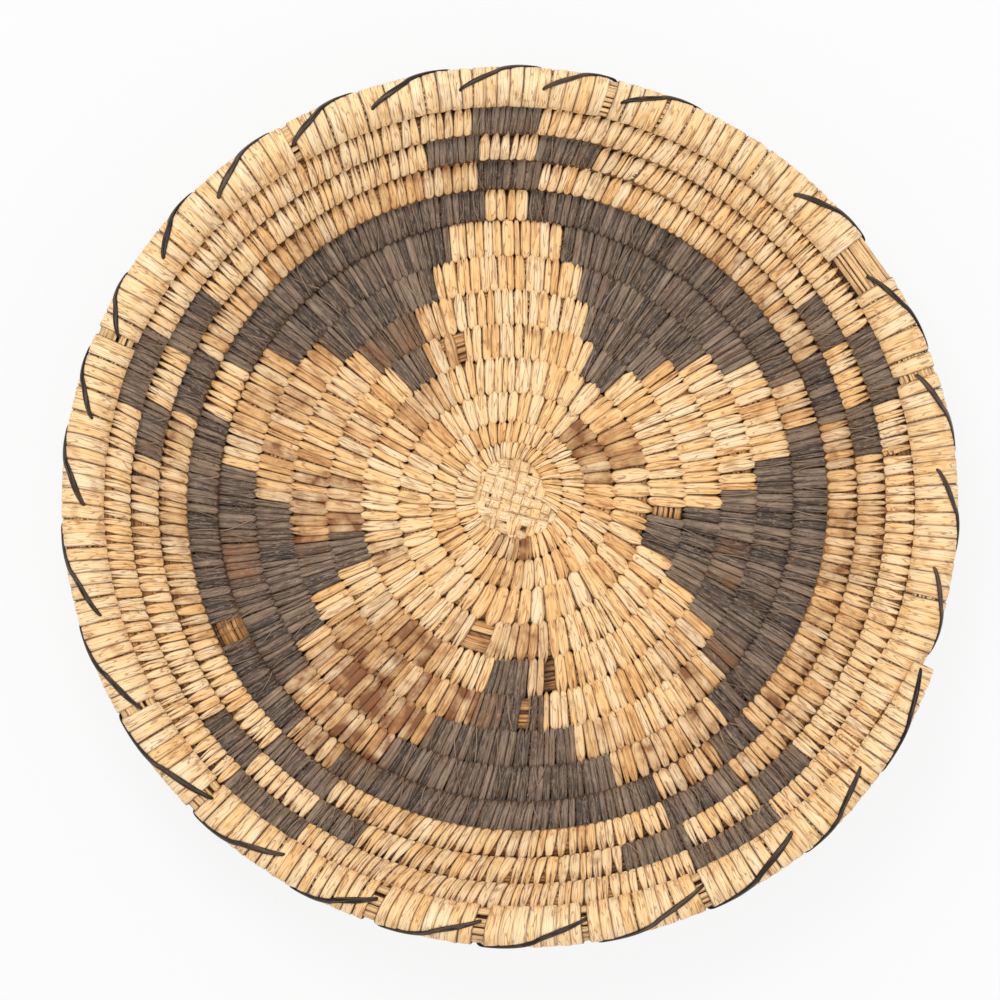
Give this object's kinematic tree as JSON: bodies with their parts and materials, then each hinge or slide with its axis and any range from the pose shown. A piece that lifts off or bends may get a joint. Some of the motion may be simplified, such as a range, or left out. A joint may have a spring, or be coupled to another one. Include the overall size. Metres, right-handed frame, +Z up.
{
  "type": "basket tray",
  "caption": "Shallow round coiled basket tray with a plaited start, a dark star and stepped diamonds sewn into tan splints, and a rim laced with dark splint.",
  "frame": {"origin": "centre of the plaited start's flat underside, where the tray stands on a table", "axes": "+Z up out of the open side; +Y towards the top of the tray as it is seen from above, +X to its right"},
  "size_m": [0.2869, 0.283, 0.0496],
  "materials": {
    "tan_splint": "split wood splint, peeled and dried, tan to honey brown with a low sheen",
    "dark_splint": "split splint dyed brown black, with a low bluish sheen",
    "grass_bundle": "bundle of dry brown grass stems, matt"
  },
  "bodies": {
    "root": {"start_plait": "tan_splint", "foundation_coil": "grass_bundle", "centre_sewing": "tan_splint", "tan_petal_1": "tan_splint", "tan_petal_2": "tan_splint", "tan_petal_3": "tan_splint", "tan_petal_4": "tan_splint", "tan_petal_5": "tan_splint", "dark_field_1": "dark_splint", "dark_field_2": "dark_splint", "dark_field_3": "dark_splint", "dark_field_4": "dark_splint", "dark_field_5": "dark_splint", "border_sewing_1": "tan_splint", "border_sewing_2": "tan_splint", "border_sewing_3": "tan_splint", "border_sewing_4": "tan_splint", "border_sewing_5": "tan_splint", "diamond_1_cell": "tan_splint", "diamond_1_lower": "dark_splint", "diamond_1_left": "dark_splint", "diamond_1_right": "dark_splint", "diamond_1_upper": "dark_splint", "diamond_2_cell": "tan_splint", "diamond_2_lower": "dark_splint", "diamond_2_left": "dark_splint", "diamond_2_right": "dark_splint", "diamond_2_upper": "dark_splint", "diamond_3_cell": "tan_splint", "diamond_3_lower": "dark_splint", "diamond_3_left": "dark_splint", "diamond_3_right": "dark_splint", "diamond_3_upper": "dark_splint", "diamond_4_cell": "tan_splint", "diamond_4_lower": "dark_splint", "diamond_4_left": "dark_splint", "diamond_4_right": "dark_splint", "diamond_4_upper": "dark_splint", "diamond_5_cell": "tan_splint", "diamond_5_lower": "dark_splint", "diamond_5_left": "dark_splint", "diamond_5_right": "dark_splint", "diamond_5_upper": "dark_splint", "diamond_2_spur": "dark_splint", "rim_wrap_1": "tan_splint", "rim_wrap_2": "tan_splint", "rim_wrap_3": "tan_splint", "rim_wrap_4": "tan_splint", "rim_wrap_5": "tan_splint", "rim_wrap_6": "tan_splint", "rim_wrap_7": "tan_splint", "rim_wrap_8": "tan_splint", "rim_lacing_1": "dark_splint", "rim_lacing_2": "dark_splint", "rim_lacing_3": "dark_splint", "rim_lacing_4": "dark_splint", "rim_lacing_5": "dark_splint"}
  },
  "joints": []
}
